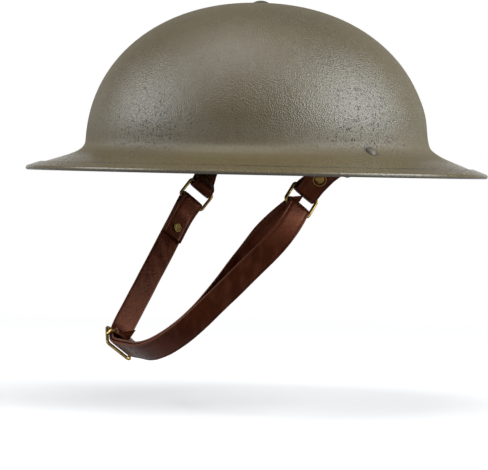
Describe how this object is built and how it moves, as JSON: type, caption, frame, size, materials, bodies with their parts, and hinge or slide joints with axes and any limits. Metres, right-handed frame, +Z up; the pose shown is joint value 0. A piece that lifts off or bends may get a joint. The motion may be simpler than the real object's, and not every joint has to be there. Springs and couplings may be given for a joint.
{
  "type": "brodie helmet",
  "caption": "Shallow pressed-steel helmet with a wide brim, sprung lining and netted crown, and a buckled leather chin strap on wire rings.",
  "frame": {"origin": "centre of the plane of the brim's edge, where the head goes in", "axes": "+Z up through the crown, +Y to the back of the helmet along its length, +X to the wearer's left"},
  "size_m": [0.2896, 0.3046, 0.2374],
  "materials": {
    "olive_paint": "semi-gloss olive drab paint over a fine sand grain",
    "edge_paint": "the same paint, rubbed along the folded edge",
    "lining_steel": "dark painted steel",
    "bail_steel": "dull steel wire",
    "grey_felt": "thick pressed felt",
    "black_oilcloth": "glossy black oilcloth",
    "buffer_rubber": "dull grey-brown rubber tube",
    "net_twine": "twisted cotton twine",
    "draw_cord": "braided cotton cord",
    "strap_leather": "burnished chestnut leather",
    "tab_leather": "burnished chestnut leather",
    "brass": "worn brass",
    "ring_brass": "dull brass wire"
  },
  "bodies": {
    "helmet": {"steel_shell": "olive_paint", "rim_strip": "edge_paint", "crown_rivet": "olive_paint", "crown_burr": "lining_steel", "crown_pad": "grey_felt", "lining_cap": "black_oilcloth", "felt_band": "grey_felt", "head_band": "black_oilcloth", "rubber_bumpers": "buffer_rubber", "crown_net": "net_twine", "draw_cord": "draw_cord", "left_lug_rivet": "olive_paint", "right_lug_rivet": "olive_paint", "left_lug_clip": "lining_steel", "right_lug_clip": "lining_steel"},
    "left_bail": {"left_bail": "bail_steel"},
    "left_tab": {"left_tab": "tab_leather", "left_tab_rivet": "brass"},
    "left_ring": {"left_ring": "ring_brass"},
    "right_bail": {"right_bail": "bail_steel"},
    "right_tab": {"right_tab": "tab_leather", "right_tab_rivet": "brass"},
    "right_ring": {"right_ring": "ring_brass"},
    "strap": {"chin_strap": "strap_leather", "strap_return": "strap_leather", "strap_rivet": "brass"},
    "buckle": {"slide_buckle": "brass"}
  },
  "joints": [
    {"name": "left_bail_swing", "type": "hinge", "parent": "helmet", "child": "left_bail", "pos_m": [0, 0.01346, 0.00956], "axis": [1, 0, 0], "range_deg": [-5, 5]},
    {"name": "left_tab_swing", "type": "hinge", "parent": "left_bail", "child": "left_tab", "pos_m": [0, 0.0074, 0.00556], "axis": [1, 0, 0], "range_deg": [-5, 5]},
    {"name": "left_ring_swing", "type": "hinge", "parent": "left_tab", "child": "left_ring", "pos_m": [0, -0.00378, -0.01146], "axis": [1, 0, 0], "range_deg": [-5, 5]},
    {"name": "right_bail_swing", "type": "hinge", "parent": "helmet", "child": "right_bail", "pos_m": [0, 0.01346, 0.00956], "axis": [1, 0, 0], "range_deg": [-5, 5]},
    {"name": "right_tab_swing", "type": "hinge", "parent": "right_bail", "child": "right_tab", "pos_m": [0, 0.0074, 0.00556], "axis": [1, 0, 0], "range_deg": [-5, 5]},
    {"name": "right_ring_swing", "type": "hinge", "parent": "right_tab", "child": "right_ring", "pos_m": [0, -0.00378, -0.01146], "axis": [1, 0, 0], "range_deg": [-5, 5]},
    {"name": "strap_swing", "type": "hinge", "parent": "left_ring", "child": "strap", "pos_m": [0, -0.0114, -0.0218], "axis": [1, 0, 0], "range_deg": [-5, 5]},
    {"name": "buckle_slide", "type": "hinge", "parent": "strap", "child": "buckle", "pos_m": [-0.027, -0.06748, -0.09786], "axis": [0, -0.8049, 0.5934], "range_deg": [-12, 14], "deforming": ["strap_return"]}
  ],
  "couplings": [
    {"joint": "left_bail_swing", "follows": "strap_swing", "ratio": 1},
    {"joint": "left_tab_swing", "follows": "strap_swing", "ratio": 1},
    {"joint": "left_ring_swing", "follows": "strap_swing", "ratio": 1},
    {"joint": "right_bail_swing", "follows": "strap_swing", "ratio": 1},
    {"joint": "right_tab_swing", "follows": "strap_swing", "ratio": 1},
    {"joint": "right_ring_swing", "follows": "strap_swing", "ratio": 1}
  ]
}
